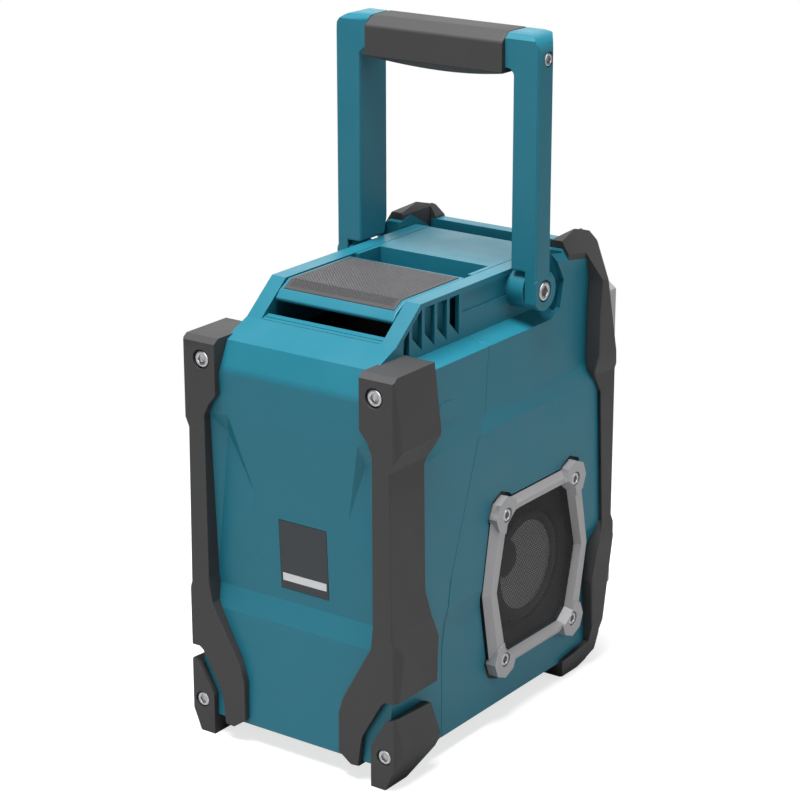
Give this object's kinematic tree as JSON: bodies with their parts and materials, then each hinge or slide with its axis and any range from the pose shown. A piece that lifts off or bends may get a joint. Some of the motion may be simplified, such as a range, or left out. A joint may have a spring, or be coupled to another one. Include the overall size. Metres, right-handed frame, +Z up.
{
  "type": "jobsite radio",
  "caption": "Upright jobsite radio with a folding carry handle, rubber corner bumpers, side speakers, a top battery lid and a front panel with display, keys and tuning dial.",
  "frame": {"origin": "on the ground under the middle of the bounding box, handle upright", "axes": "+Z up; the front panel looks along -Y, so the rear wall looks along +Y; the two speakers look along -X and +X"},
  "size_m": [0.164, 0.256, 0.436],
  "materials": {
    "cabinet_plastic": "moulded teal ABS, fine spark texture",
    "bumper_rubber": "dark grey elastomer, matt",
    "grip_rubber": "black grip rubber, matt",
    "pad_rubber": "black rubber with a small diamond relief",
    "trim_plastic": "satin silver-grey painted plastic",
    "panel_plastic": "black plastic, semi-matt",
    "key_plastic": "grey key plastic",
    "dial_plastic": "black dial plastic, fluted",
    "grille_steel": "black painted perforated steel",
    "lens": "clear window",
    "display": "liquid crystal module",
    "board": "green circuit board",
    "inner_plastic": "black inner plastic",
    "cone_paper": "dark pressed cone with a rubber roll",
    "gasket_foam": "black foam",
    "magnet_metal": "ferrite and pole plates",
    "basket_metal": "pressed steel basket",
    "terminal_plastic": "yellow terminal block",
    "terminal_metal": "tinned blades",
    "steel": "bright zinc-plated screws and pins",
    "label": "dark blank rating plate"
  },
  "bodies": {
    "cabinet": {"front_housing": "cabinet_plastic", "rear_cover": "cabinet_plastic", "top_deck": "cabinet_plastic", "deck_insert": "cabinet_plastic", "rear_bumper_left": "bumper_rubber", "rear_bumper_right": "bumper_rubber", "front_bumper_left": "bumper_rubber", "front_bumper_right": "bumper_rubber", "rear_foot_left": "bumper_rubber", "rear_foot_right": "bumper_rubber", "bumper_screws": "steel", "label_plate": "label", "speaker_bezel_left": "trim_plastic", "speaker_bezel_right": "trim_plastic", "speaker_grille_left": "grille_steel", "speaker_grille_right": "grille_steel", "speaker_gasket_left": "gasket_foam", "speaker_gasket_right": "gasket_foam", "speaker_basket_left": "basket_metal", "speaker_basket_right": "basket_metal", "speaker_cone_left": "cone_paper", "speaker_cone_right": "cone_paper", "speaker_magnet_left": "magnet_metal", "speaker_magnet_right": "magnet_metal", "bezel_screws": "steel", "front_panel": "panel_plastic", "front_bezel": "trim_plastic", "panel_screws": "steel", "display_lens": "lens", "display_module": "display", "main_board": "board", "key_switches": "inner_plastic", "encoder_body": "inner_plastic", "aux_socket": "inner_plastic", "usb_socket": "steel", "battery_tray": "inner_plastic", "terminal_block": "terminal_plastic", "terminal_blades": "terminal_metal", "lid_hinge_pin": "steel", "pivot_screws": "steel"},
    "handle": {"handle_arm_left": "cabinet_plastic", "handle_arm_right": "cabinet_plastic", "handle_grip": "grip_rubber", "handle_core": "steel", "handle_screws": "steel"},
    "lid": {"battery_lid": "cabinet_plastic", "lid_pad": "pad_rubber"},
    "dial": {"tuning_dial": "dial_plastic", "encoder_shaft": "steel"},
    "power_key_body": {"power_key": "key_plastic"},
    "source_key_body": {"source_key": "key_plastic"},
    "preset_key_1_body": {"preset_key_1": "key_plastic"},
    "preset_key_2_body": {"preset_key_2": "key_plastic"},
    "preset_key_3_body": {"preset_key_3": "key_plastic"},
    "preset_key_4_body": {"preset_key_4": "key_plastic"},
    "port_flap_body": {"port_flap": "bumper_rubber"}
  },
  "joints": [
    {"name": "handle_fold", "type": "hinge", "parent": "cabinet", "child": "handle", "pos_m": [0, -0.0355, 0.276], "axis": [-1, 0, 0], "range_deg": [0, 87]},
    {"name": "lid_open", "type": "hinge", "parent": "cabinet", "child": "lid", "pos_m": [0, 0.0087, 0.2798], "axis": [1, 0, 0], "range_deg": [0, 95]},
    {"name": "dial_turn", "type": "hinge", "parent": "cabinet", "child": "dial", "pos_m": [0, -0.1225, 0.118], "axis": [0, -1, 0], "continuous": true},
    {"name": "power_key_press", "type": "slide", "parent": "cabinet", "child": "power_key_body", "axis": [0, 1, 0], "range_m": [0, 0.0012], "stiffness_N_per_m": 300, "springref_m": -0.001},
    {"name": "source_key_press", "type": "slide", "parent": "cabinet", "child": "source_key_body", "axis": [0, 1, 0], "range_m": [0, 0.0012], "stiffness_N_per_m": 300, "springref_m": -0.001},
    {"name": "preset_key_1_press", "type": "slide", "parent": "cabinet", "child": "preset_key_1_body", "axis": [0, 1, 0], "range_m": [0, 0.0012], "stiffness_N_per_m": 300, "springref_m": -0.001},
    {"name": "preset_key_2_press", "type": "slide", "parent": "cabinet", "child": "preset_key_2_body", "axis": [0, 1, 0], "range_m": [0, 0.0012], "stiffness_N_per_m": 300, "springref_m": -0.001},
    {"name": "preset_key_3_press", "type": "slide", "parent": "cabinet", "child": "preset_key_3_body", "axis": [0, 1, 0], "range_m": [0, 0.0012], "stiffness_N_per_m": 300, "springref_m": -0.001},
    {"name": "preset_key_4_press", "type": "slide", "parent": "cabinet", "child": "preset_key_4_body", "axis": [0, 1, 0], "range_m": [0, 0.0012], "stiffness_N_per_m": 300, "springref_m": -0.001},
    {"name": "port_flap_open", "type": "hinge", "parent": "cabinet", "child": "port_flap_body", "pos_m": [0, -0.12015, 0.061], "axis": [1, 0, 0], "range_deg": [0, 90]}
  ]
}
